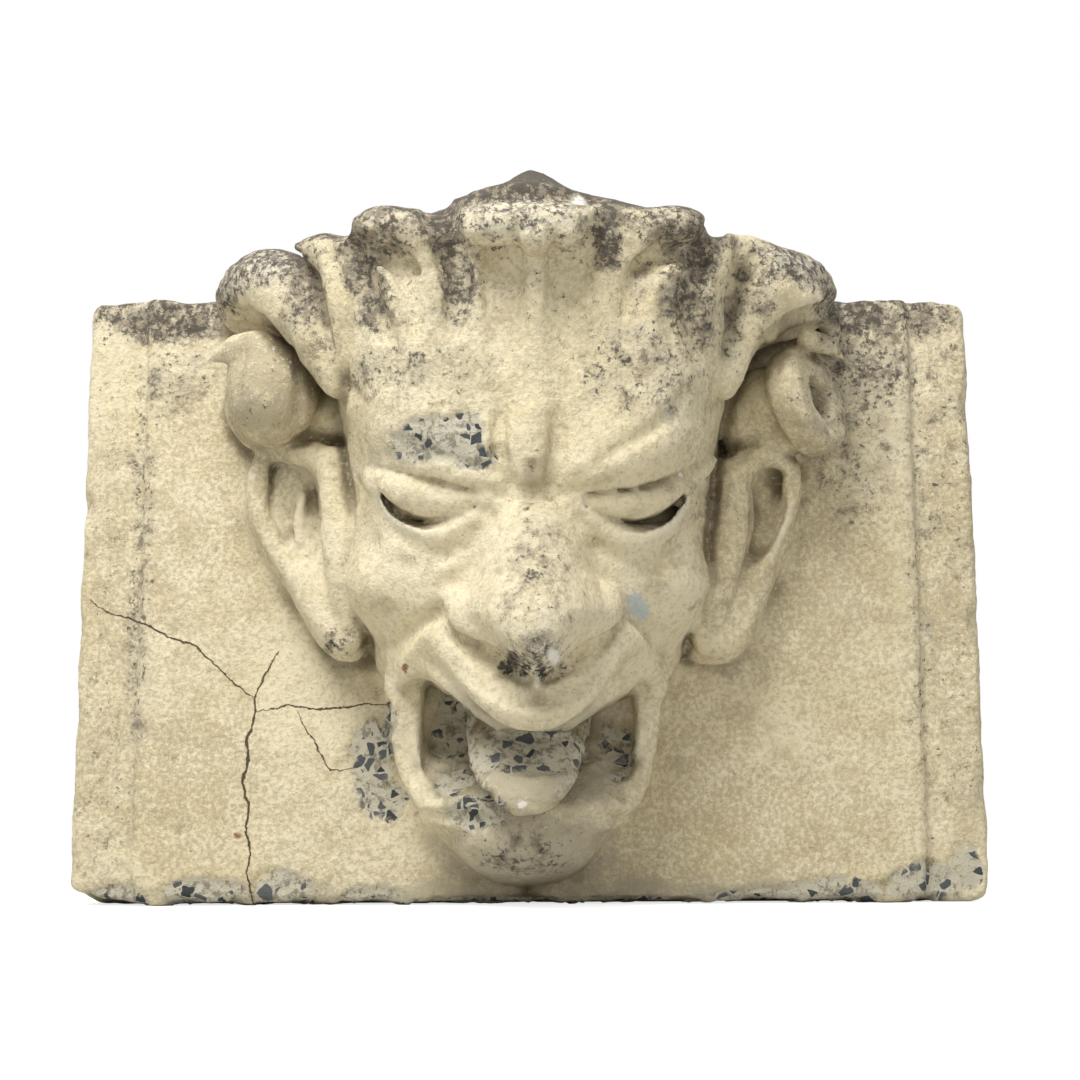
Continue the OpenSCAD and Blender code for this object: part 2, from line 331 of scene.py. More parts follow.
def buildHair():
    # broad locks run up from the brow and roll over forwards at the top
    clay.stroke([(-66, 128, 14, 1), (-70, 150, 18, 4), (-78, 175, 24, 7), (-88, 200, 28, 9),
                 (-94, 216, 26, 9)])
    clay.stroke([(-122, 128, 10, 1), (-122, 150, 13, 5), (-124, 180, 18, 8), (-132, 208, 22, 8),
                 (-140, 222, 20, 6)])
    clay.stroke([(72, 132, 14, 1), (76, 155, 18, 4), (84, 180, 24, 7), (94, 202, 26, 8), (98, 216, 24, 8)])
    clay.stroke([(122, 130, 10, 1), (118, 155, 13, 5), (117, 180, 16, 8), (124, 204, 18, 8),
                 (134, 220, 18, 6)])
    # centre of the crest: a broken lip over the fluted forehead
    clay.roll([(-45, 221, 209, 9), (-28, 227, 208, 13), (-3, 228, 208, 14), (17, 228, 208, 14),
               (37, 226, 212, 9)], blend=7)
    clay.ball((-4, 203, 224), (42, 26, 13), (24, 0, 0), blend=10)
    # lips of the second and third locks, with their free ends
    clay.roll([(-122, 188, 213, 5), (-110, 202, 213, 8), (-92, 211, 213, 10), (-74, 214, 210, 9),
               (-62, 210, 202, 5)], blend=6)
    clay.roll([(118, 182, 219, 5), (108, 196, 217, 8), (92, 207, 216, 10), (74, 209, 213, 9),
               (60, 208, 206, 5)], blend=6)
    clay.roll([(-152, 152, 218, 6), (-138, 166, 214, 9), (-124, 176, 209, 8)], blend=9)
    clay.roll([(146, 150, 218, 6), (136, 162, 214, 9), (122, 174, 208, 8)], blend=9)
    # hollow under each lip
    clay.roll([(-38, 220, 195, 4), (-26, 221, 190, 8), (-3, 222, 188, 9), (20, 221, 189, 8),
               (32, 220, 195, 4)], cut=True, blend=4)
    clay.roll([(-112, 200, 199, 3), (-98, 206, 196, 7), (-82, 209, 192, 7), (-70, 209, 186, 4)], cut=True,
              blend=3)
    clay.roll([(110, 199, 202, 3), (98, 205, 200, 7), (82, 208, 196, 7), (68, 208, 190, 4)], cut=True,
              blend=3)
    clay.stroke([(-104, 203, 8, -3), (-90, 197, 13, -12), (-80, 182, 13, -11), (-74, 162, 12, -7),
                 (-73, 144, 10, -1)])
    clay.stroke([(102, 206, 8, -3), (88, 199, 13, -11), (74, 186, 13, -10), (63, 166, 12, -6),
                 (60, 146, 10, -1)])
    clay.stroke([(-130, 208, 8, -4), (-124, 190, 10, -6), (-120, 166, 9, -5), (-119, 140, 8, -1)])
    clay.stroke([(126, 208, 8, -4), (122, 190, 9, -5), (122, 166, 9, -4), (122, 144, 7, -1)])
    # grooves between the locks, deepest high up
    for path in ([(-62, 240, 13, -10), (-55, 218, 14, -19), (-49, 194, 14, -19), (-45, 170, 12, -12),
                  (-48, 146, 10, -2)], [(-124, 222, 9, -7), (-113, 202, 13, -15), (-104, 180, 14, -15),
                                        (-97, 158, 12, -9), (-90, 140, 9, -1)], [(122, 226, 10, -7),
                                                                                 (112, 204, 14, -14),
                                                                                 (103, 180, 14, -13),
                                                                                 (101, 158, 12, -8),
                                                                                 (105, 134, 10, -2)],
                 [(-154, 214, 9, -7), (-142, 190, 10, -9), (-133, 162, 9, -7), (-128, 138, 8, -3)],
                 [(138, 216, 9, -6), (132, 196, 9, -8), (130, 172, 9, -6), (130, 150, 8, -3)]):
        clay.stroke(path)
    clay.roll([(52, 232, 216, 7), (49, 226, 198, 7), (45, 220, 180, 6), (42, 214, 162, 4), (42, 212, 150, 2)],
              cut=True, blend=4)
    # the dips between the tops of the locks are filled behind
    clay.roll([(-112, 178, 208, 7), (-92, 184, 212, 9), (-72, 188, 214, 11), (-56, 188, 220, 12),
               (-42, 188, 227, 12)], blend=8)
    # deep folds each side of the middle lock
    clay.roll([(-54, 226, 220, 4), (-50, 222, 204, 6), (-44, 218, 188, 6), (-42, 216, 172, 5),
               (-44, 214, 158, 2)], cut=True, blend=3)
    clay.roll([(45, 226, 216, 4), (40, 222, 202, 7), (35, 218, 184, 6), (32, 216, 170, 4), (30, 214, 158, 2)],
              cut=True, blend=2)
    # crisp folds inside the locks and at the foot of each groove
    for path in ([(-53, 220, 8, -5), (-48, 204, 9, -11), (-42, 186, 9, -10), (-42, 168, 8, -5),
                  (-46, 154, 5, -1)], [(-105, 198, 7, -3), (-86, 187, 8, -7), (-74, 168, 8, -7),
                                       (-70, 145, 7, -4), (-70, 130, 5, -1)], [(-112, 204, 7, -4),
                                                                               (-104, 190, 8, -8),
                                                                               (-98, 168, 8, -8),
                                                                               (-92, 148, 7, -3)],
                 [(-121, 190, 5, -3), (-115, 166, 6, -5), (-116, 142, 6, -5), (-120, 124, 5, -1)],
                 [(42, 212, 8, -6), (37, 200, 9, -14), (33, 182, 8, -13), (30, 164, 7, -8),
                  (30, 150, 5, -2)], [(92, 212, 6, -2), (80, 202, 8, -5), (67, 190, 8, -7),
                                      (61, 173, 8, -5), (60, 152, 6, -1)], [(104, 208, 7, -5),
                                                                            (92, 188, 8, -9),
                                                                            (84, 168, 8, -8),
                                                                            (88, 148, 7, -4),
                                                                            (92, 134, 5, -1)],
                 [(114, 202, 6, -3), (108, 188, 7, -6), (104, 168, 7, -5), (104, 150, 5, -1)],
                 [(-142, 200, 6, -4), (-134, 176, 6, -5), (-128, 150, 6, -3)]):
        clay.stroke(path, "sharp")
    for path in ([(-66, 200, 7, 3), (-57, 180, 7, 4), (-56, 160, 6, 2)], [(-96, 178, 6, 3),
                                                                          (-86, 160, 6, 3),
                                                                          (-82, 142, 5, 1)],
                 [(52, 204, 6, 3), (47, 184, 6, 4), (45, 160, 6, 2)], [(-32, 200, 6, 3), (-31, 176, 6, 3),
                                                                       (-33, 156, 5, 1)], [(24, 200, 5, 3),
                                                                                           (21, 178, 5, 3),
                                                                                           (20, 158, 5, 1)]):
        clay.stroke(path)
    # middle rib of the forehead with a shallow flute each side
    clay.stroke([(3, 197, 10, 7), (4, 170, 10, 5), (5, 140, 9, 2.5), (5, 120, 8, 0.5)], "band")
    clay.stroke([(-22, 192, 14, -7), (-19, 160, 13, -6), (-17, 120, 10, -1)])
    clay.stroke([(23, 192, 13, -7), (22, 160, 13, -6), (20, 120, 10, -1)])
    for x in (-33, -9, 14):
        clay.stroke([(x, 200, 5, -4), (0.85 * x, 172, 6, -6), (0.75 * x, 146, 6, -4),
                     (0.7 * x, 128, 5, -1)], "sharp")


def buildWings():
    # hair swept out over each scroll in one thick leaf, hollow beneath
    clay.roll([(-206, 92, 204, 12), (-192, 110, 204, 19), (-174, 128, 202, 24), (-158, 140, 190, 25),
               (-146, 146, 170, 21), (-136, 150, 148, 15), (-127, 152, 126, 9)], blend=6)
    clay.roll([(-200, 84, 196, 16), (-176, 104, 196, 26), (-156, 116, 184, 26)], blend=6)
    clay.roll([(204, 96, 206, 10), (190, 112, 206, 17), (172, 130, 202, 23), (156, 142, 190, 24),
               (144, 148, 168, 20), (134, 152, 146, 14), (127, 154, 124, 9)], blend=6)
    clay.roll([(196, 86, 198, 14), (176, 106, 194, 26), (156, 118, 184, 26)], blend=6)
    clay.ball((166, 136, 192), (50, 26, 25), (18, 38, -26), blend=6)
    clay.roll([(206, 80, 200, 9), (211, 84, 184, 7), (212, 80, 168, 5)], blend=5)
    clay.roll([(-218, 104, 180, 10), (-198, 120, 172, 17), (-176, 134, 156, 20), (-160, 138, 134, 17),
               (-150, 132, 110, 11)], cut=True, blend=3)
    clay.roll([(-200, 96, 172, 14), (-176, 104, 156, 20), (-160, 106, 134, 17)], cut=True, blend=3)
    clay.roll([(214, 104, 188, 6), (200, 122, 180, 14), (184, 140, 164, 21), (168, 152, 140, 24),
               (154, 150, 112, 16)], cut=True, blend=2)
    clay.roll([(196, 100, 172, 12), (176, 110, 154, 20), (160, 112, 130, 19), (150, 108, 108, 12)],
              cut=True, blend=3)


def buildScrolls():
    # two drums of rolled hair: the left end is worn round with a pointed lip, the right end is an open ring
    clay.ball((-173, 114, 131), (33, 37, 37), (0, 0, -10), blend=3)
    clay.roll([(-176, 90, 128, 34), (-140, 84, 124, 32)], blend=4)
    clay.roll([(-180, 134, 156, 12), (-197, 125, 158, 9), (-214, 113, 155, 3)], blend=7)
    clay.ball((-218, 122, 126), (15, 26, 22), cut=True, blend=5)
    clay.stroke([(-186, 160, 6, -2), (-192, 142, 7, -4), (-193, 124, 7, -4), (-188, 104, 6, -2)])
    clay.stroke([(-158, 160, 6, -1), (-152, 140, 7, -3), (-152, 118, 7, -3), (-158, 100, 6, -1)])
    clay.drum((142, 80, 115), (190, 116, 125), 32, 7)
    clay.drum((140, 62, 118), (186, 64, 122), 37, 10)
    clay.drum((178, 107, 122), (197, 121, 127), 38, 7, blend=1)
    clay.drum((168, 100, 120), (224, 142, 132), 15, 5, cut=True, blend=4)
    clay.roll([(186, 132, 162, 7), (202, 120, 161, 6), (214, 110, 155, 2)], blend=4)
    # hair between the scrolls and the temples
    clay.roll([(-146, 74, 150, 24), (-128, 74, 118, 22), (-124, 74, 86, 18)], blend=6)
    clay.roll([(150, 70, 150, 22), (132, 70, 118, 22), (130, 70, 86, 18)], blend=6)


ears = {
    "left": {"tip": [(-182, 88, 93, 5), (-186, 92, 76, 7), (-184, 95, 52, 7), (-175, 96, 34, 7),
                     (-164, 98, 16, 7), (-151, 100, 0, 7), (-143, 102, -14, 8), (-134, 104, -27, 9),
                     (-124, 104, -36, 11)], "top": [(-182, 88, 93, 5), (-167, 98, 94, 8),
                                                    (-148, 106, 90, 10), (-134, 110, 80, 10)],
             "inner": [(-132, 112, 82, 12), (-128, 114, 52, 13), (-124, 114, 20, 14), (-121, 110, -10, 13),
                       (-120, 104, -30, 12)], "bowl": [(-160, 72, 72, 24), (-158, 73, 48, 26),
                                                       (-150, 84, 20, 21), (-140, 92, -4, 19),
                                                       (-128, 94, -26, 18)], "hollow": [[(-173, 104, 76, 5),
                                                                                         (-168, 102, 60, 9),
                                                                                         (-162, 103, 42, 8),
                                                                                         (-155, 106, 26, 4)],
                                                                                        [(-147, 112, 62, 4),
                                                                                         (-144, 110, 48, 7),
                                                                                         (-143, 111, 34, 5),
                                                                                         (-145, 112, 22, 2)]],
             "ridge": [(-154, 98, 62, 3), (-156, 100, 46, 4), (-154, 101, 30, 4)]},
    "right": {"tip": [(177, 102, 82, 5), (178, 100, 68, 7), (173, 98, 52, 7), (165, 98, 32, 7),
                      (157, 98, 11, 7), (148, 100, -8, 8), (140, 101, -26, 10), (130, 103, -37, 11),
                      (119, 104, -37, 11)], "top": [(177, 102, 82, 5), (160, 108, 88, 9),
                                                    (146, 110, 82, 10), (136, 110, 66, 10)],
              "inner": [(135, 112, 72, 12), (134, 113, 50, 13), (129, 112, 22, 14), (124, 110, -2, 13),
                        (117, 106, -26, 12)], "bowl": [(158, 72, 64, 22), (156, 72, 44, 24),
                                                       (150, 83, 20, 21), (140, 91, -6, 19),
                                                       (128, 93, -26, 18)], "hollow": [[(165, 106, 72, 5),
                                                                                        (164, 102, 56, 9),
                                                                                        (157, 102, 36, 9),
                                                                                        (149, 106, 18, 4)]],
              "ridge": [(150, 98, 62, 3), (149, 101, 44, 4), (144, 103, 26, 4)]},
}


def buildEars():
    for ear in ears.values():
        clay.roll(ear["bowl"], blend=8)
        for rim in ("tip", "top", "inner"):
            clay.roll([(x, s - 18, z, r + 3) for x, s, z, r in ear[rim]], blend=6)
            clay.roll(ear[rim], blend=4)
        for hollow in ear["hollow"]:
            clay.roll(hollow, cut=True, blend=4)
        clay.roll(ear["ridge"], blend=3)


def buildBrow():
    # heavy brows that drop to the nose root, with the drop of flesh between them
    clay.stroke([(-22, 64, 22, 3), (-44, 72, 28, 5), (-72, 86, 30, 5), (-98, 100, 28, 4), (-116, 106, 20, 2)])
    clay.stroke([(26, 64, 22, 3), (48, 76, 28, 5), (74, 92, 30, 5), (98, 110, 28, 4), (114, 122, 20, 2)])
    clay.stroke([(0, 108, 13, 1), (-1, 84, 14, 5), (-1, 64, 14, 8), (-1, 53, 12, 6)])
    clay.stroke([(-20, 106, 8, -2), (-19, 88, 9, -8), (-17, 68, 9, -10), (-13, 52, 8, -8)], "sharp")
    clay.stroke([(17, 108, 8, -2), (16, 90, 9, -8), (15, 70, 9, -10), (12, 52, 8, -8)], "sharp")
    clay.stroke([(-26, 58, 8, -6), (-44, 62, 6, -4), (-66, 72, 6, -3), (-88, 82, 5, -2)], "sharp")


def buildEyes():
    # sockets cut back under the brows, then the lids laid in them like drooping leaves
    leftBack = [(-118, 122), (-108, 134), (-95, 147), (-80, 160), (-65, 168), (-47, 176), (-34, 186)]
    rightBack = [(34, 186), (47, 176), (66, 167), (88, 154), (106, 140), (124, 124)]
    clay.opening([(-113, 72), (-100, 69), (-84, 64), (-64, 57), (-42, 50), (-33, 46), (-33, 38), (-38, 32),
                  (-48, 25), (-70, 26), (-85, 35), (-96, 50)], leftBack, 1)
    clay.opening([(32, 46), (46, 48), (66, 51), (85, 58), (98, 66), (112, 77), (121, 83), (123, 76),
                  (110, 64), (98, 49), (87, 31), (66, 22), (46, 26), (33, 37)], rightBack, 1)
    clay.roll([(-113, 139, 73, 3), (-106, 145, 68, 7), (-94, 156, 61, 13), (-80, 167, 54, 16),
               (-64, 175, 48, 16), (-47, 183, 44, 12), (-34, 190, 44, 6)], blend=1)
    clay.roll([(34, 190, 42, 4), (47, 186, 41, 9), (66, 179, 42, 11), (85, 168, 50, 11), (98, 158, 59, 9.5),
               (112, 146, 70, 6), (121, 137, 79, 3)], blend=1)
    clay.opening([(-97, 53), (-88, 45), (-79, 38), (-65, 33), (-47, 32), (-38, 35), (-38, 31), (-48, 27),
                  (-68, 26), (-84, 33), (-93, 43)], [(x, s + 11) for x, s in leftBack], 1)
    clay.opening([(34, 38), (46, 32), (64, 30), (78, 35), (90, 43), (99, 51), (97, 44), (86, 33), (66, 25),
                  (46, 27)], [(x, s + 11) for x, s in rightBack], 1)
    clay.roll([(-106, 139, 57, 3), (-97, 147, 46, 5), (-85, 159, 34, 6), (-69, 170, 25, 6),
               (-48, 182, 26, 6.5), (-36, 189, 31, 5)], blend=2)
    clay.roll([(113, 136, 58, 3), (104, 143, 45, 5), (89, 157, 29, 6), (67, 172, 23, 6.5), (46, 183, 26, 6.5),
               (34, 189, 32, 5)], blend=2)
    clay.stroke([(-100, 40, 6, -2), (-86, 24, 8, -4), (-68, 13, 8, -4), (-50, 10, 8, -3), (-38, 16, 6, -1)])
    clay.stroke([(108, 40, 6, -2), (92, 18, 8, -4), (68, 8, 8, -4), (48, 10, 8, -3), (36, 16, 6, -1)])
    clay.stroke([(34, 58, 14, 4), (62, 64, 18, 7), (86, 76, 18, 7), (108, 94, 16, 5)])
    # crease over the right brow, the wrinkles at the temple and crow's feet
    clay.stroke([(29, 54, 6, -3), (48, 66, 7, -6), (72, 82, 8, -8), (90, 99, 8, -8), (105, 118, 6, -2)],
                "sharp")
    clay.stroke([(-122, 130, 6, -2), (-113, 117, 7, -5), (-104, 104, 6, -1)], "sharp")
    for rise in (0, 9, 18):
        clay.stroke([(104, 52 - rise, 4, -1), (114, 56 - 1.2 * rise, 5, -2.5),
                     (122, 60 - 1.5 * rise, 4, -1)], "sharp")


def buildNose():
    # broad blunt wedge that droops over the lip, with flared wings
    clay.lobe(nose, 150, 6.0)
    clay.roll([(-33, 194, -39, 9), (-44, 184, -28, 10), (-45, 180, -17, 7)], blend=7)
    clay.roll([(35, 194, -39, 9), (46, 184, -27, 10), (47, 180, -16, 7)], blend=7)
    clay.stroke([(-56, -8, 9, -2), (-48, -8, 9, -4), (-42, 2, 9, -3), (-38, 16, 9, -1)])
    clay.stroke([(60, -6, 9, -2), (50, -5, 9, -4), (44, 4, 9, -3), (40, 18, 9, -1)])
    # boss of flesh between the brows, a fold each side of it and the crease under it
    clay.ball((-2, clay.frontAt(-2, 74) - 6, 76), (13, 10, 25), blend=9)
    clay.stroke([(-18, 98, 7, -1), (-21, 80, 8, -3), (-20, 58, 8, -4)], "sharp")
    clay.stroke([(16, 98, 7, -1), (19, 80, 8, -3), (18, 58, 8, -4)], "sharp")
    clay.stroke([(-30, 47, 6, -4), (-12, 43, 7, -8), (12, 43, 7, -8), (28, 47, 6, -4)], "sharp")


def buildCheeks():
    clay.ball((-90, 126, -4), (30, 38, 28), (0, 20, 0), blend=14)
    clay.ball((88, 124, -4), (30, 38, 28), (0, -20, 0), blend=14)
    clay.stroke([(-30, 32, 9, -3), (-42, 18, 10, -4), (-60, 6, 10, -3), (-80, 4, 9, -2)])
    clay.stroke([(32, 28, 9, -3), (44, 12, 10, -4), (62, 2, 10, -3), (84, 4, 9, -2)])


def buildMouth():
    # broad upper lip that arches from the nose to the corners
    clay.roll([(-92, 122, -62, 7), (-80, 140, -49, 10), (-60, 162, -40, 12), (-42, 177, -54, 13),
               (-21, 190, -79, 13), (0, 194, -89, 13), (22, 190, -80, 13), (42, 177, -56, 13),
               (60, 161, -42, 12), (77, 140, -51, 10), (88, 122, -64, 7)], blend=6)
    clay.roll([(-70, 148, -45, 9), (-52, 164, -43, 12), (-32, 175, -57, 13), (0, 182, -71, 13),
               (32, 175, -57, 13), (52, 164, -43, 12), (68, 148, -46, 9)], blend=7)
    # deep open mouth under the lip, its floor rising toward the throat
    clay.opening([(-70, -72), (-66, -66), (-47, -79), (-32, -92), (-16, -101), (17, -101), (31, -94),
                  (49, -82), (64, -74), (68, -78), (69, -100), (66, -126), (58, -140), (30, -146),
                  (0, -150), (-29, -146), (-56, -142), (-68, -130), (-72, -104)], [(-70, 96), (70, 96)], 2)
    for low, stand in ((-116, 92), (-130, 104), (-142, 116), (-151, 127)):
        clay.roll([(-66, stand - 6, low + 10, 9), (-40, stand, low + 4, 12), (0, stand + 4, low, 14),
                   (40, stand, low + 4, 12), (62, stand - 6, low + 10, 9)], blend=9)
    clay.opening([(-92, -72), (-66, -66), (-60, -120), (-60, -143), (-96, -140)], [(-92, 124), (-60, 124)], 4)
    clay.opening([(88, -74), (66, -70), (58, -120), (56, -143), (92, -140)], [(56, 124), (88, 124)], 4)
    # rim of the jaw down each side
    clay.roll([(-92, 120, -62, 6), (-86, 120, -76, 7), (-85, 115, -94, 7), (-82, 111, -114, 7),
               (-76, 114, -132, 6.5), (-64, 122, -144, 6)], blend=4)
    clay.roll([(87, 120, -62, 6), (79, 118, -78, 7), (77, 113, -94, 7), (74, 111, -112, 7),
               (69, 114, -132, 6.5), (58, 122, -145, 6)], blend=4)
    # bowl of the chin, open along its top
    clay.ball((-2, 106, -168), (46, 42, 25), blend=9)
    clay.roll([(-64, 116, -152, 7), (-46, 126, -154, 8), (-22, 133, -157, 10), (-2, 136, -159, 12),
               (18, 133, -157, 10), (40, 126, -155, 8), (56, 116, -154, 7)], blend=5)
    clay.stroke([(-104, -64, 8, -3), (-93, -60, 9, -6), (-88, -48, 10, -9), (-72, -33, 10, -9),
                 (-58, -26, 9, -6)])
    clay.stroke([(102, -66, 8, -3), (92, -64, 9, -6), (87, -54, 10, -9), (75, -37, 10, -9), (62, -24, 9, -6)])


def buildUndercut():
    # the tip and wings of the nose hang free over the lip
    for forward in (0, 12, 26, 40):
        clay.roll([(-40, 200 + forward, -52, 2), (-26, 206 + forward, -62, 4), (2, 211 + forward, -70, 6),
                   (29, 206 + forward, -62, 4), (42, 200 + forward, -51, 2)], cut=True, blend=2)
    # flat planes from the wings to the tip, and the crease behind each wing
    clay.stroke([(-40, -46, 10, -3), (-28, -56, 12, -5), (-18, -64, 9, -3)])
    clay.stroke([(42, -45, 10, -3), (30, -55, 12, -5), (20, -64, 9, -3)])
    clay.stroke([(-54, -30, 7, -4), (-68, -30, 8, -6), (-84, -42, 8, -6), (-98, -58, 7, -3)], "sharp")
    clay.stroke([(57, -28, 7, -4), (70, -30, 8, -7), (84, -44, 8, -8), (94, -58, 7, -4)], "sharp")
    clay.stroke([(-50, -38, 6, -4), (-40, -52, 7, -6), (-28, -64, 6, -4)], "sharp")
    clay.stroke([(52, -37, 6, -4), (42, -52, 7, -6), (30, -64, 6, -4)], "sharp")
    clay.stroke([(-44, -60, 9, -3), (-26, -74, 10, -6), (-8, -82, 10, -7), (10, -82, 10, -7),
                 (28, -74, 10, -6), (46, -60, 9, -3)])
    # thin edge of the lower lip and the crease below it
    clay.roll([(-62, 126, -146, 3), (-50, 131, -147, 5), (-34, 138, -147, 5), (-24, 141, -150, 4)], blend=3)
    clay.roll([(57, 126, -147, 3), (46, 131, -147, 5), (32, 138, -147, 5), (20, 141, -150, 4)], blend=3)
    clay.stroke([(-66, -151, 6, -4), (-54, -154, 8, -8), (-40, -155, 8, -8), (-22, -158, 8, -5)], "sharp")
    clay.stroke([(60, -152, 6, -4), (50, -154, 8, -8), (38, -155, 8, -8), (20, -158, 8, -5)], "sharp")


def buildTongue():
    clay.roll([(-2, 108, -86, 16.5), (-3, 132, -103, 16), (-4, 151, -118, 14.5), (-4, 165, -131, 12),
               (-4, 172, -141, 9), (-5, 174, -147, 6)], blend=1.5, squash=(2.5, 1, 1))
    clay.stroke([(-4, -106, 18, -3), (-4, -124, 14, -2)])


def buildDamage():
    # broken corner, and bites out of the lower and upper edges
    clay.ball((-312, 70, -216), (26, 60, 17), (0, 12, 0), blend=4, cut=True)
    clay.ball((-284, 84, -216), (34, 34, 9), (0, 4, 0), blend=4, cut=True)
    for x, rx, rz in ((-232, 16, 6), (-196, 10, 5), (-150, 20, 5), (-104, 12, 4), (-40, 18, 3), (66, 22, 3),
                      (150, 16, 4), (214, 24, 5), (268, 18, 6), (304, 10, 9)):
        clay.ball((x, 82, -214), (rx, 20, rz + 3), blend=4, cut=True)
    for x, rx, rz in ((-296, 12, 6), (-240, 26, 5), (226, 14, 5), (262, 20, 4), (300, 12, 7)):
        clay.ball((x, 80, 215), (rx, 24, rz + 2), blend=5, cut=True)
    for x, z, r in ((-309, 60, 7), (-311, -90, 8), (309, -20, 7), (311, 130, 8), (310, -140, 9)):
        clay.ball((x, 74, z), (r, 12, r * 2.4), blend=4, cut=True)


buildSlab()
buildHead()
say("slab and head")
buildBrow()
buildCheeks()
buildNose()
buildEyes()
say("face")
buildMouth()
buildTongue()
buildUndercut()
say("mouth")
buildHair()
buildWings()
buildScrolls()
buildEars()
buildDamage()
say("hair, ears and damage")

surface = {
    "seed": 11,
    "evening": (0.5, -0.52, 0.5, -0.52),      # smooths the steps of the grid and gives the size back
    "weathering": ((26.0, 0.9), (9.0, 0.5), (4.5, 0.3)),    # size and depth of the lumps left by the weather
    "brokenDepth": 1.6,                       # how far the skin stands over the broken places
    "brokenEdge": 0.45,                       # strength of a broken zone at which the skin gives way
    "wornDepth": 0.8,
    "crease": math.radians(62),               # edges keener than this stay sharp
}

# Cracks through the slab: half the width of the opening, then the line as (x, z)
cracks = {
    "crackA": (0.55, [(-303, -4), (-290, -13), (-275, -17), (-260, -23), (-246, -31), (-229, -36),
                      (-214, -50), (-201, -63), (-188, -72)]),
    "crackB": (0.75, [(-171, -40), (-181, -57), (-187, -72), (-186, -84), (-192, -101), (-190, -114),
                      (-194, -130), (-189, -146), (-191, -161), (-187, -176), (-190, -187), (-185, -211)]),
    "crackC": (0.45, [(-187, -82), (-176, -80), (-164, -77), (-147, -80), (-130, -79), (-110, -76),
                      (-92, -78)]),
    "crackD": (0.3, [(-158, -80), (-153, -92), (-143, -106), (-136, -121), (-126, -121), (-114, -118)]),
}

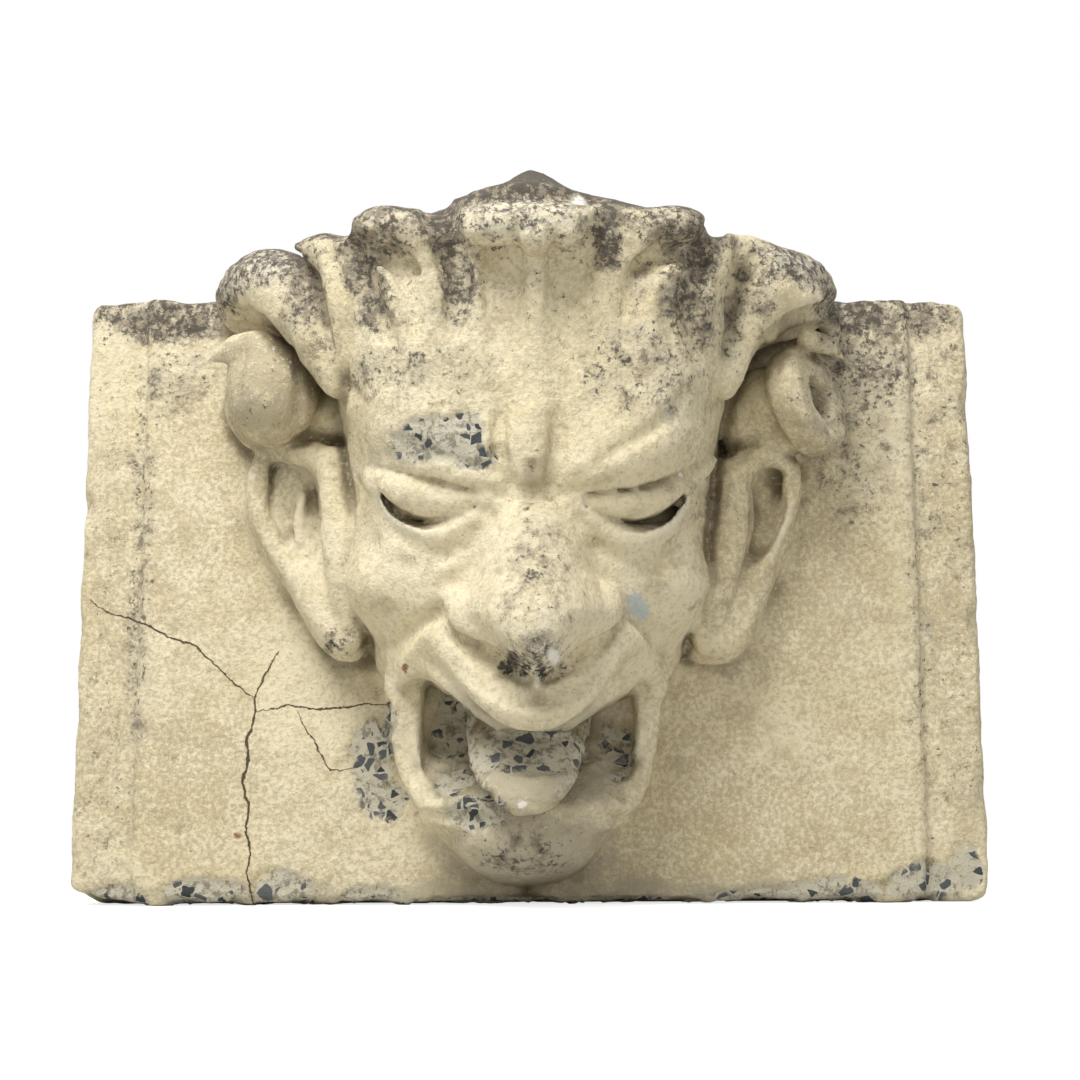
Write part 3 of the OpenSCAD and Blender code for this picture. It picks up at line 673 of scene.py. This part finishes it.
# Where the weather has worked, each as (x, z, half width, half height, strength). A sixth number keeps the
# zone behind that stand, inside the mouth.
weather = {
    "broken": [(-60, 78, 30, 16, 1), (-40, 82, 14, 16, 0.9), (-34, 66, 16, 9, 1), (-108, -112, 17, 34, 0.9),
               (-99, -141, 18, 18, 0.9), (-94, -90, 9, 16, 0.8), (-52, -96, 18, 30, 0.8, 150),
               (0, -112, 44, 18, 0.95, 176), (-30, -114, 14, 14, 0.9, 176), (-36, -150, 26, 14, 0.9),
               (-50, -130, 16, 14, 0.8, 160), (56, -110, 16, 30, 0.7, 150), (-276, -206, 24, 12, 1),
               (-218, -203, 32, 13, 1), (-165, -201, 24, 17, 1), (-105, -206, 28, 11, 0.9),
               (-30, -211, 70, 7, 0.9), (70, -211, 50, 7, 0.9), (150, -207, 36, 9, 0.9),
               (205, -203, 40, 12, 0.9), (265, -197, 32, 17, 0.9), (295, -188, 14, 20, 0.8),
               (88, 96, 10, 8, 0.6)],
    "grime": [(0, 238, 140, 20, 1), (0, 210, 60, 24, 0.55), (-70, 196, 70, 50, 0.35),
              (85, 196, 70, 50, 0.4), (-28, 232, 40, 20, 0.7), (40, 232, 40, 18, 0.7),
              (-92, 210, 50, 16, 0.8), (98, 212, 50, 16, 0.8), (-72, 112, 40, 14, 0.4),
              (0, 196, 200, 56, 0.25), (0, 130, 120, 30, 0.15), (3, 262, 90, 16, 1.5),
              (-60, 238, 36, 10, 1.3), (80, 233, 44, 10, 1.3), (3, 256, 76, 26, 1), (-60, 238, 40, 14, 0.9),
              (76, 234, 50, 14, 0.9), (-95, 222, 34, 10, 0.8), (102, 222, 30, 12, 0.8),
              (-140, 222, 30, 8, 0.8), (-176, 210, 44, 22, 0.9), (-148, 182, 18, 30, 0.75),
              (-134, 150, 14, 24, 0.5), (176, 206, 44, 20, 0.85), (146, 186, 20, 34, 0.7),
              (128, 160, 16, 30, 0.6), (-53, 214, 15, 30, 1), (-44, 176, 15, 30, 0.9),
              (-108, 196, 16, 26, 0.9), (-98, 164, 16, 24, 0.8), (48, 205, 12, 28, 1),
              (108, 205, 18, 28, 1), (101, 168, 20, 34, 0.9), (-90, 124, 40, 18, 0.6),
              (-50, 126, 30, 16, 0.45), (70, 124, 50, 34, 0.55), (62, 176, 14, 30, 0.45),
              (0, 212, 46, 16, 0.55), (2, -4, 20, 50, 0.5), (2, -34, 26, 30, 0.4), (0, -58, 24, 14, 0.6),
              (-4, -178, 34, 16, 0.7), (0, -168, 44, 18, 0.35), (-252, 192, 40, 20, 1),
              (-210, 200, 30, 14, 0.9), (-290, 196, 26, 20, 0.7), (-248, 150, 30, 34, 0.55),
              (-268, 20, 12, 190, 0.58), (-290, 60, 24, 150, 0.25), (228, 196, 40, 18, 1),
              (272, 196, 40, 18, 0.8), (240, 158, 44, 36, 0.75), (226, 96, 34, 70, 0.5),
              (292, 100, 30, 130, 0.4), (292, -80, 22, 100, 0.3), (268, 0, 12, 200, 0.45),
              (116, 48, 18, 16, 0.5), (-128, -40, 14, 14, 0.6), (-290, -120, 22, 90, 0.35)],
    "stain": [(-225, 60, 70, 130, 0.6), (-230, -130, 60, 70, 0.8), (-150, -160, 70, 50, 0.5),
              (150, -160, 120, 50, 0.8), (190, 20, 80, 110, 0.7), (240, -80, 60, 110, 0.5),
              (0, -196, 300, 16, 0.7), (-290, -40, 26, 170, 0.7), (292, 0, 26, 210, 0.8),
              (0, -172, 60, 36, 0.8), (110, -100, 50, 50, 0.6), (0, 150, 130, 80, 0.35)],
    "mortar": [(0, -112, 76, 44, 1, 182), (0, -176, 66, 34, 0.9), (-104, -120, 24, 40, 0.6),
               (-62, 78, 34, 18, 0.7), (0, -208, 320, 16, 0.8), (-110, 70, 16, 12, 0.4),
               (98, -90, 12, 40, 0.4)],
    "brown": [(2, -10, 24, 56, 0.8), (-176, 130, 40, 46, 1.2), (190, 128, 46, 50, 0.9),
              (-104, -10, 24, 60, 0.3), (-120, 40, 30, 80, 0.4), (118, 40, 34, 80, 0.5)],
    "worn": [(-6, 212, 46, 16, 0.8), (-96, 218, 26, 10, 0.4), (98, 222, 26, 9, 0.6),
             (-186, 206, 34, 20, 0.7), (182, 206, 36, 18, 0.7), (-176, 130, 36, 36, 0.35),
             (196, 126, 30, 38, 0.45), (10, -62, 20, 10, 0.8), (-60, 80, 30, 14, 0.3),
             (40, 150, 60, 50, 0.25), (0, 80, 16, 30, 0.25)],
}

# Small marks as (x, z, radius): lime, soot, paint and rust
marks = {
    "lime": [(30, 227, 7), (13, -59, 5), (-6, -146, 4), (-264, 128, 3), (96, 62, 2.5)],
    "soot": [(-12, -61, 7), (-17, -63, 6), (-4, -66, 5), (6, -66, 5), (-3, 33, 3), (1, -10, 4),
             (-133, -40, 5)],
    "paint": [(66, -20, 9), (71, -25, 7)],
    "rust": [(-196, -164, 4), (-80, -59, 3.5)],
}


def lattice(points, size, seed):
    # smooth noise between -1 and 1 with lumps of the given size in millimetres
    table = np.random.default_rng(seed).uniform(-1, 1, (32, 32, 32)).astype(np.float32)
    q = points / size
    base = np.floor(q).astype(int)
    t = q - base
    t = t * t * (3 - 2 * t)
    out = np.zeros(len(points), np.float32)
    for corner in range(8):
        o = [(corner >> i) & 1 for i in range(3)]
        w = np.prod([t[:, i] if o[i] else 1 - t[:, i] for i in range(3)], axis=0)
        out += w * table[tuple((base[:, i] + o[i]) % 32 for i in range(3))]
    return out


def zones(points, places):
    total = np.zeros(len(points), np.float32)
    for x, z, halfWide, halfHigh, strength, *behind in places:
        r = ((points[:, 0] - x) / halfWide) ** 2 + ((points[:, 2] - z) / halfHigh) ** 2
        level = strength * np.clip(1.25 - r, 0, 1) ** 0.7
        if behind:
            level = level * (points[:, 1] < behind[0])
        total = np.maximum(total, level)
    return total


def crackField(points, halfWidth, path):
    # sideways distance, distance past the ends and opening, all in millimetres
    p = np.array(path, float)
    near = np.full(len(points), 1e9)
    side = np.full(len(points), 30.0)
    past = np.full(len(points), 30.0)
    along = np.zeros(len(points))
    for i in range(len(p) - 1):
        d = p[i + 1] - p[i]
        size = np.hypot(*d)
        ux, uz = points[:, 0] - p[i, 0], points[:, 2] - p[i, 1]
        t = (ux * d[0] + uz * d[1]) / size
        inside = np.clip(t, 0, size)
        gap = np.hypot(ux - inside * d[0] / size, uz - inside * d[1] / size)
        closer = gap < near
        over = np.maximum(0, -t if i == 0 else 0) + np.maximum(0, t - size if i == len(p) - 2 else 0)
        near = np.where(closer, gap, near)
        side = np.where(closer,
                        np.sign(ux * d[1] - uz * d[0]) * np.sqrt(np.maximum(0, gap ** 2 - over ** 2)), side)
        past = np.where(closer, over, past)
        along = np.where(closer, (i + inside / size) / (len(p) - 1), along)
    opening = halfWidth * (0.35 + 0.65 * np.sin(np.pi * np.clip(along, 0.04, 0.96)))
    return np.stack([np.clip(side, -25, 25), np.clip(past, 0, 25), opening], 1)


def outward(points):
    n = np.stack([clay.sample(points + e) - clay.sample(points - e) for e in np.eye(3) * clay.cell], 1)
    return n / np.maximum(1e-6, np.linalg.norm(n, axis=1, keepdims=True))


def relax(values, edges, weights):
    # moves every value toward the average of its neighbours, once for each weight
    joins = np.maximum(1, np.bincount(edges.ravel(), minlength=len(values)))
    wide = values.reshape(len(values), -1).astype(float)
    for weight in weights:
        for i in range(wide.shape[1]):
            total = (np.bincount(edges[:, 0], wide[edges[:, 1], i], len(wide)) +
                     np.bincount(edges[:, 1], wide[edges[:, 0], i], len(wide)))
            wide[:, i] += weight * (total / joins - wide[:, i])
    return wide.reshape(values.shape)


def mainBody(count, edges):
    # marks the points that hang together with the most others, so that no loose crumb stays
    label = np.arange(count)
    while True:
        low = label.copy()
        np.minimum.at(low, edges[:, 0], label[edges[:, 1]])
        np.minimum.at(low, edges[:, 1], label[edges[:, 0]])
        low = low[low]
        if (low == label).all():
            return label == np.bincount(label).argmax()
        label = low


def makeMesh():
    # skins the clay, roughens it, and gives back the piece with its points, outward directions and edges
    grid = openvdb.FloatGrid()
    grid.copyFromArray(clay.field)
    points, _, quads = grid.convertToPolygons(isovalue=0.0, adaptivity=0.0)
    points = points * clay.cell + clay.low
    edges = np.unique(np.sort(quads[:, [0, 1, 1, 2, 2, 3, 3, 0]].reshape(-1, 2), axis=1), axis=0)
    inner = points[:, 1] > 1.5
    smooth = relax(points, edges, surface["evening"])
    points = np.where(inner[:, None], smooth, points)
    n = relax(outward(points), edges, (0.5, 0.5))
    n /= np.maximum(1e-6, np.linalg.norm(n, axis=1, keepdims=True))
    broken = zones(points, weather["broken"]) * (points[:, 1] > 30)
    seen = np.clip((points[:, 1] - 8) / 20, 0, 1)
    rise = sum(depth * lattice(points, size, surface["seed"] + i)
               for i, (size, depth) in enumerate(surface["weathering"])) * (0.35 + 0.65 * seen)
    rise -= surface["brokenDepth"] * np.clip(
        (broken + 0.35 * lattice(points, 7, 5) - surface["brokenEdge"]) * 4, 0, 1)
    rise -= surface["wornDepth"] * zones(points, weather["worn"]) * np.clip(lattice(points, 6, 9) * 1.6, 0, 1)
    rise *= seen + 0.15
    points = points + n * rise[:, None]
    points[:, 1] = np.maximum(points[:, 1], 0)
    place = np.stack([points[:, 0], -points[:, 1], points[:, 2]], 1) / 1000.0
    # the flat bed at the back becomes one face
    bed = (points[quads][:, :, 1] < 0.6).all(1)
    keep = quads[~bed & mainBody(len(points), edges)[quads[:, 0]]]
    used = np.unique(keep)
    renumber = np.full(len(points), -1)
    renumber[used] = np.arange(len(used))
    mesh = bpy.data.meshes.new("maskCorbel")
    mesh.from_pydata(place[used].tolist(), [], renumber[keep].tolist())
    mesh.validate()
    piece = bpy.data.objects.new("maskCorbel", mesh)
    bpy.context.scene.collection.objects.link(piece)
    return piece, points[used], n[used], renumber[edges[(renumber[edges] >= 0).all(1)]]


def closeBed(piece):
    # one flat face closes the block behind
    form = bmesh.new()
    form.from_mesh(piece.data)
    rim = [e for e in form.edges if e.is_boundary]
    bmesh.ops.contextual_create(form, geom=rim)
    bmesh.ops.recalc_face_normals(form, faces=form.faces)
    form.to_mesh(piece.data)
    form.free()
    piece.data.shade_smooth()
    piece.data.set_sharp_from_angle(angle=surface["crease"])


def record(piece, name, values):
    kind = "FLOAT_VECTOR" if values.ndim == 2 else "FLOAT"
    layer = piece.data.attributes.new(name, kind, "POINT")
    layer.data.foreach_set("vector" if values.ndim == 2 else "value", values.astype(np.float32).ravel())


corbel, points, normals, edges = makeMesh()
closeBed(corbel)
triangles = sum(len(face.vertices) - 2 for face in corbel.data.polygons)
fewer = corbel.modifiers.new("fewer", "DECIMATE")
fewer.ratio = min(1, detail["mostTriangles"] / triangles)
say("mesh of %d faces" % len(corbel.data.polygons))
front = np.clip((points[:, 1] - 20) / 30, 0, 1)
for name, places in weather.items():
    level = zones(points, places) * front
    if name == "grime":
        level = level + 0.25 * np.clip(normals[:, 2], 0, 1) * front * (points[:, 2] > 150)
    record(corbel, name, level)
# painted shade: how deep each point lies in a hollow, used to darken hollows and grooves in the colour;
# partly dirt lodged there as well
hollow = sum(np.clip((t - clay.sample(points + t * normals)) / t, 0, 1) for t in (4.0, 12.0)) / 2
record(corbel, "hollow", relax(hollow, edges, (0.6, 0.6)) * front)
# painted highlight: how sharply each point stands out on a ridge, used to lighten ridges and edges in the
# colour
ridge = np.clip((4.0 + clay.sample(points - 4.0 * normals)) / 4.0, 0, 1)
record(corbel, "ridge", relax(ridge, edges, (0.6, 0.6)) * front)
for name, spots in marks.items():
    level = np.zeros(len(points))
    for x, z, r in spots:
        level = np.maximum(level, np.clip(1.5 - np.hypot(points[:, 0] - x, points[:, 2] - z) / r, 0, 1))
    record(corbel, name, level * front)
for name, (halfWidth, path) in cracks.items():
    line = crackField(points, halfWidth, path)
    line[points[:, 1] < 4, 1] = 25         # none on the bed behind
    record(corbel, name, line)
say("weather recorded")


def linear(code):
    values = [int(code[i:i + 2], 16) / 255 for i in (1, 3, 5)]
    return [v / 12.92 if v <= 0.04045 else ((v + 0.055) / 1.055) ** 2.4 for v in values] + [1.0]


def add(tree, kind, settings=None, links=None):
    node = tree.nodes.new(kind)
    for name, value in (settings or {}).items():
        if isinstance(name, int) or name in node.inputs:
            node.inputs[name].default_value = value
        else:
            setattr(node, name, value)
    for name, socket in (links or {}).items():
        tree.links.new(socket, node.inputs[name])
    return node


# Cast stone: buff limestone dust and cement rammed over a coarse mix of dark crushed stone. The eye gets a
# dry, chalky, sandy skin with soft mottling, grey and black lichen where rain stays, and dark angular chips
# in pale grey mortar where the skin has come away.
castStone = {
    "base": "#E4D8B8",
    # noise name: size of its lumps in mm, detail, roughness
    "grains": {"cloud": (90, 3, 0.55), "blotch": (26, 5, 0.7), "sand": (3.4, 4, 0.7), "film": (20, 5, 0.72),
               "lichen": (12, 6, 0.78), "speck": (5.0, 5, 0.75), "ragged": (9, 5, 0.6), "pit": (2.4, 2, 0.5)},
    # noise, attribute, gain, where it starts, where it is full, strength, colour
    "layers": [("cloud", None, 0, 0.44, 0.64, 0.6, "#DDCFA8"),
               ("lichen", None, 0, 0.56, 0.74, 0.4, "#B3A27E"),
               ("blotch", "stain", 0.14, 0.5, 0.72, 0.6, "#C9B892"),
               ("sand", "stain", 0.12, 0.50, 0.68, 0.5, "#A08F6E"),
               ("sand", None, 0, 0.42, 0.32, 0.4, "#F3ECD6"),
               ("lichen", "brown", 0.24, 0.58, 0.76, 0.6, "#A3967A"),
               ("blotch", "mortar", 0.5, 0.55, 0.95, 0.75, "#B3AA94"),
               # painted shade: these two darken the hollows and grooves, partly dirt lodged there and partly
               # shade laid into the colour
               ("film", "hollow", 0.6, 0.60, 1.0, 0.8, "#8C7E60"),
               ("cloud", "hollow", 0.9, 0.72, 1.15, 0.75, "#6F6248"),
               # painted highlight: lightens ridges and edges where they stand out
               ("sand", "ridge", 0.5, 0.62, 0.9, 0.45, "#F3ECD6"),
               ("film", "grime", 0.40, 0.59, 0.96, 0.65, "#AFA692"),
               ("lichen", "grime", 0.25, 0.62, 0.78, 0.8, "#7D7263"),
               ("speck", "grime", 0.22, 0.655, 0.76, 0.85, "#4E4942"),
               ("sand", "worn", 0.2, 0.60, 0.76, 0.6, "#EDE7D6"),
               ("speck", "worn", 0.2, 0.64, 0.75, 0.8, "#57524A"),
               ("pit", None, 0, 0.73, 0.78, 0.4, "#6E6350"),
               ("ragged", "broken", 0.7, 0.84, 1.05, 1.0, "#C4BDA8"),
               ("speck", "broken", 0.2, 0.66, 0.78, 0.7, "#6E685B")],
    "marks": {"lime": "#F4F1E8", "soot": "#34322F", "paint": "#BFC9C8", "rust": "#8A4A2A"},
    "crack": "#5A4D3B",
    "markEdge": (0.86, 1.04),              # where a mark starts and where it is full
    "crackWander": 5.0,                    # sideways wander of the cracks, in mm
    "chip": 7.6,                           # spacing of the crushed stone, in mm
    "chipBend": 0.006,                     # how far the chips' outlines are bent, in metres
    "chipShrink": 0.8,                     # more leaves wider mortar round the chips and fewer of them
    "chipDark": "#3E4143", "chipPale": "#65686A",
    "roughness": 0.92, "specular": 0.25,   # dry and chalky, hardly any sheen
    "bump": 0.0017, "bumpStrength": 0.8,   # height of the sandy grain in metres, and how much of it shows
}


def castStoneMaterial():
    c = castStone
    stone = bpy.data.materials.new("castStone")
    stone.use_nodes = True
    tree = stone.node_tree
    skin = tree.nodes["Principled BSDF"]
    place = add(tree, "ShaderNodeTexCoord").outputs["Object"]
    grain = {}
    for name, (size, octaves, rough) in c["grains"].items():
        grain[name] = add(tree, "ShaderNodeTexNoise",
                          {"Scale": 1000 / size, "Detail": octaves, "Roughness": rough},
                          {"Vector": place}).outputs["Fac"]
    colour = None
    masks = {}
    for grainName, attribute, gain, start, full, strength, code in c["layers"]:
        level = grain[grainName]
        if attribute:
            held = add(tree, "ShaderNodeAttribute", {"attribute_name": attribute})
            level = add(tree, "ShaderNodeMath", {"operation": "MULTIPLY_ADD", 1: gain},
                        {0: held.outputs["Fac"], 2: level}).outputs[0]
        mask = add(tree, "ShaderNodeMapRange", {"interpolation_type": "SMOOTHSTEP", "From Min": start,
                                                "From Max": full, "To Max": strength},
                   {"Value": level}).outputs[0]
        masks[grainName, attribute] = mask
        links = {0: mask} if colour is None else {0: mask, 6: colour}
        colour = add(tree, "ShaderNodeMix", {"data_type": "RGBA", 6: linear(c["base"]), 7: linear(code)},
                     links).outputs[2]
    # crushed stone in the broken places: angular chips, some cells left as mortar
    bent = add(tree, "ShaderNodeVectorMath", {"operation": "MULTIPLY_ADD", 1: [c["chipBend"]] * 3},
               {0: add(tree, "ShaderNodeTexNoise", {"Scale": 1000 / 12}, {"Vector": place}).outputs["Color"],
                2: place}).outputs[0]
    cell = add(tree, "ShaderNodeTexVoronoi", {"Scale": 1000 / c["chip"]}, {"Vector": bent})
    edge = add(tree, "ShaderNodeTexVoronoi", {"feature": "DISTANCE_TO_EDGE", "Scale": 1000 / c["chip"]},
               {"Vector": bent})
    pick = add(tree, "ShaderNodeSeparateColor", {}, {0: cell.outputs["Color"]})
    need = add(tree, "ShaderNodeMath", {"operation": "MULTIPLY_ADD", 1: c["chipShrink"], 2: -0.02},
               {0: pick.outputs[0]})
    inner = add(tree, "ShaderNodeMath", {"operation": "SUBTRACT"},
                {0: edge.outputs["Distance"], 1: need.outputs[0]})
    chip = add(tree, "ShaderNodeMapRange", {"From Min": 0.0, "From Max": 0.03}, {"Value": inner.outputs[0]})
    chipMask = add(tree, "ShaderNodeMath", {"operation": "MULTIPLY"},
                   {0: chip.outputs[0], 1: masks["ragged", "broken"]}).outputs[0]
    chipTone = add(tree, "ShaderNodeMix",
                   {"data_type": "RGBA", 6: linear(c["chipDark"]), 7: linear(c["chipPale"])},
                   {0: pick.outputs[1]}).outputs[2]
    colour = add(tree, "ShaderNodeMix", {"data_type": "RGBA"},
                 {0: chipMask, 6: colour, 7: chipTone}).outputs[2]
    for name, code in c["marks"].items():
        held = add(tree, "ShaderNodeAttribute", {"attribute_name": name})
        level = add(tree, "ShaderNodeMath", {"operation": "MULTIPLY_ADD", 1: 0.55},
                    {0: held.outputs["Fac"], 2: grain["speck"]})
        start, full = c["markEdge"]
        mask = add(tree, "ShaderNodeMapRange", {"From Min": start, "From Max": full, "To Max": 0.9},
                   {"Value": level.outputs[0]})
        colour = add(tree, "ShaderNodeMix", {"data_type": "RGBA", 7: linear(code)},
                     {0: mask.outputs[0], 6: colour}).outputs[2]
    # hairline cracks, drawn from how far each spot lies from the line
    opening = None
    for name in cracks:
        held = add(tree, "ShaderNodeAttribute", {"attribute_name": name})
        parts = add(tree, "ShaderNodeSeparateXYZ", {}, {0: held.outputs["Vector"]})
        wander = add(tree, "ShaderNodeMath",
                     {"operation": "MULTIPLY_ADD", 1: c["crackWander"], 2: -c["crackWander"] / 2},
                     {0: grain["speck"]})
        side = add(tree, "ShaderNodeMath", {"operation": "ADD"}, {0: parts.outputs[0], 1: wander.outputs[0]})
        flat = add(tree, "ShaderNodeCombineXYZ", {}, {0: side.outputs[0], 1: parts.outputs[1]})
        away = add(tree, "ShaderNodeVectorMath", {"operation": "LENGTH"}, {0: flat.outputs[0]})
        inside = add(tree, "ShaderNodeMath", {"operation": "SUBTRACT"},
                     {0: parts.outputs[2], 1: away.outputs["Value"]})
        line = add(tree, "ShaderNodeMapRange", {"From Min": -0.25, "From Max": 0.15},
                   {"Value": inside.outputs[0]})
        opening = line.outputs[0] if opening is None else add(
            tree, "ShaderNodeMath", {"operation": "MAXIMUM"}, {0: opening, 1: line.outputs[0]}).outputs[0]
    colour = add(tree, "ShaderNodeMix", {"data_type": "RGBA", 7: linear(c["crack"])},
                 {0: opening, 6: colour}).outputs[2]
    tree.links.new(colour, skin.inputs["Base Color"])
    skin.inputs["Roughness"].default_value = c["roughness"]
    skin.inputs["Specular IOR Level"].default_value = c["specular"]
    # sandy relief, with pits and sunk cracks
    height = grain["sand"]
    for socket, weight in ((grain["speck"], 0.5), (grain["film"], 1.2), (masks["pit", None], -0.6),
                           (opening, -1.5)):
        height = add(tree, "ShaderNodeMath", {"operation": "MULTIPLY_ADD", 1: weight},
                     {0: socket, 2: height}).outputs[0]
    bump = add(tree, "ShaderNodeBump", {"Strength": c["bumpStrength"], "Distance": c["bump"]},
               {"Height": height})
    tree.links.new(bump.outputs[0], skin.inputs["Normal"])
    return stone


corbel.data.materials.append(castStoneMaterial())
say("stone")

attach(corbel, "root")
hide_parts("corbel")

# camera, light, floor
scene = bpy.context.scene
scene.view_settings.view_transform = "Standard"
camera = bpy.data.objects.new("camera", bpy.data.cameras.new("camera"))
view = {
    "place": (-0.0069, -1.2588, -0.1606),
    "turns": (90 + 9.427, 0.233, -0.631),      # looking up a little from in front
    "lens": 58.0, "sensor": 36.0,
}
camera.location = view["place"]
camera.rotation_euler = [math.radians(angle) for angle in view["turns"]]
camera.data.lens = view["lens"]
camera.data.sensor_width = view["sensor"]
scene.collection.objects.link(camera)
scene.camera = camera


def lamp(name, where, aim, size, power):
    light = bpy.data.lights.new(name, "AREA")
    light.energy, light.size = power, size
    holder = bpy.data.objects.new(name, light)
    holder.location = where
    holder.rotation_euler = (Vector(aim) - Vector(where)).to_track_quat("-Z", "Y").to_euler()
    scene.collection.objects.link(holder)


studio = {
    "aim": (0, -0.1, 0),                       # in metres, as the camera's place
    "key": ((-0.5, -1.05, 1.4), 0.8, 34),      # place, size in metres, power in watts
    "fill": ((0.9, -1.6, 0.2), 1.6, 5),
    "sky": 0.38,
    "floor": 8.0, "floorColour": "#CFCFCC", "floorGlow": 0.75,
}
for name in ("key", "fill"):
    where, size, power = studio[name]
    lamp(name, where, studio["aim"], size, power)


def surroundings():
    # an even pale sky, and a pale floor that looks white to the camera without lighting the block more
    white = linear("#FFFFFF")
    world = bpy.data.worlds.new("studio")
    scene.world = world
    world.use_nodes = True
    tree = world.node_tree
    seen = add(tree, "ShaderNodeLightPath")
    shine = add(tree, "ShaderNodeMath", {"operation": "MAXIMUM"},
                {0: seen.outputs["Is Camera Ray"], 1: seen.outputs["Is Glossy Ray"]})
    shine = add(tree, "ShaderNodeMath", {"operation": "MAXIMUM"},
                {0: shine.outputs[0], 1: seen.outputs["Is Transmission Ray"]})
    level = add(tree, "ShaderNodeMapRange", {"To Min": studio["sky"], "To Max": 1.0},
                {"Value": shine.outputs[0]})
    tree.nodes["Background"].inputs["Color"].default_value = white
    tree.links.new(level.outputs[0], tree.nodes["Background"].inputs["Strength"])

    bpy.ops.mesh.primitive_plane_add(size=studio["floor"], location=(0, 0, cadLow.z - 0.0005))
    floor = bpy.context.object
    floor.name = "floor"
    paint = bpy.data.materials.new("paleFloor")
    paint.use_nodes = True
    tree = paint.node_tree
    coat = tree.nodes["Principled BSDF"]
    coat.inputs["Base Color"].default_value = linear(studio["floorColour"])
    coat.inputs["Roughness"].default_value = 0.9
    seen = add(tree, "ShaderNodeLightPath")
    glow = add(tree, "ShaderNodeMath", {"operation": "MULTIPLY", 1: studio["floorGlow"]},
               {0: seen.outputs["Is Camera Ray"]})
    coat.inputs["Emission Color"].default_value = white
    tree.links.new(glow.outputs[0], coat.inputs["Emission Strength"])
    floor.data.materials.append(paint)


surroundings()

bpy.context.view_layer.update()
say("done")
